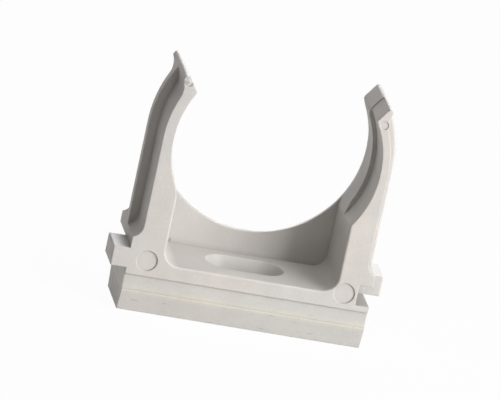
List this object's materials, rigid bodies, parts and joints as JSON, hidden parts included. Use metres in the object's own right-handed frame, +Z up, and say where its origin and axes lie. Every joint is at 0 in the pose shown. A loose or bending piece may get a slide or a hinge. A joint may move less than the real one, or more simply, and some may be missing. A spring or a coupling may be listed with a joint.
{
  "type": "conduit clip",
  "caption": "Moulded clip-on saddle that holds one conduit: open springy arms over a slotted screw well, with side tabs and recesses that lock clips in a row.",
  "frame": {"origin": "middle of the foot's underside, on the mounting surface", "axes": "+X along a row of clips, +Y along the conduit towards the screw well's back wall, +Z up, away from the mounting surface"},
  "size_m": [0.0688, 0.022, 0.061],
  "materials": {
    "light_grey_plastic": "satin moulded plastic, light warm grey"
  },
  "bodies": {
    "root": {"conduit_clip": "light_grey_plastic"}
  },
  "joints": []
}
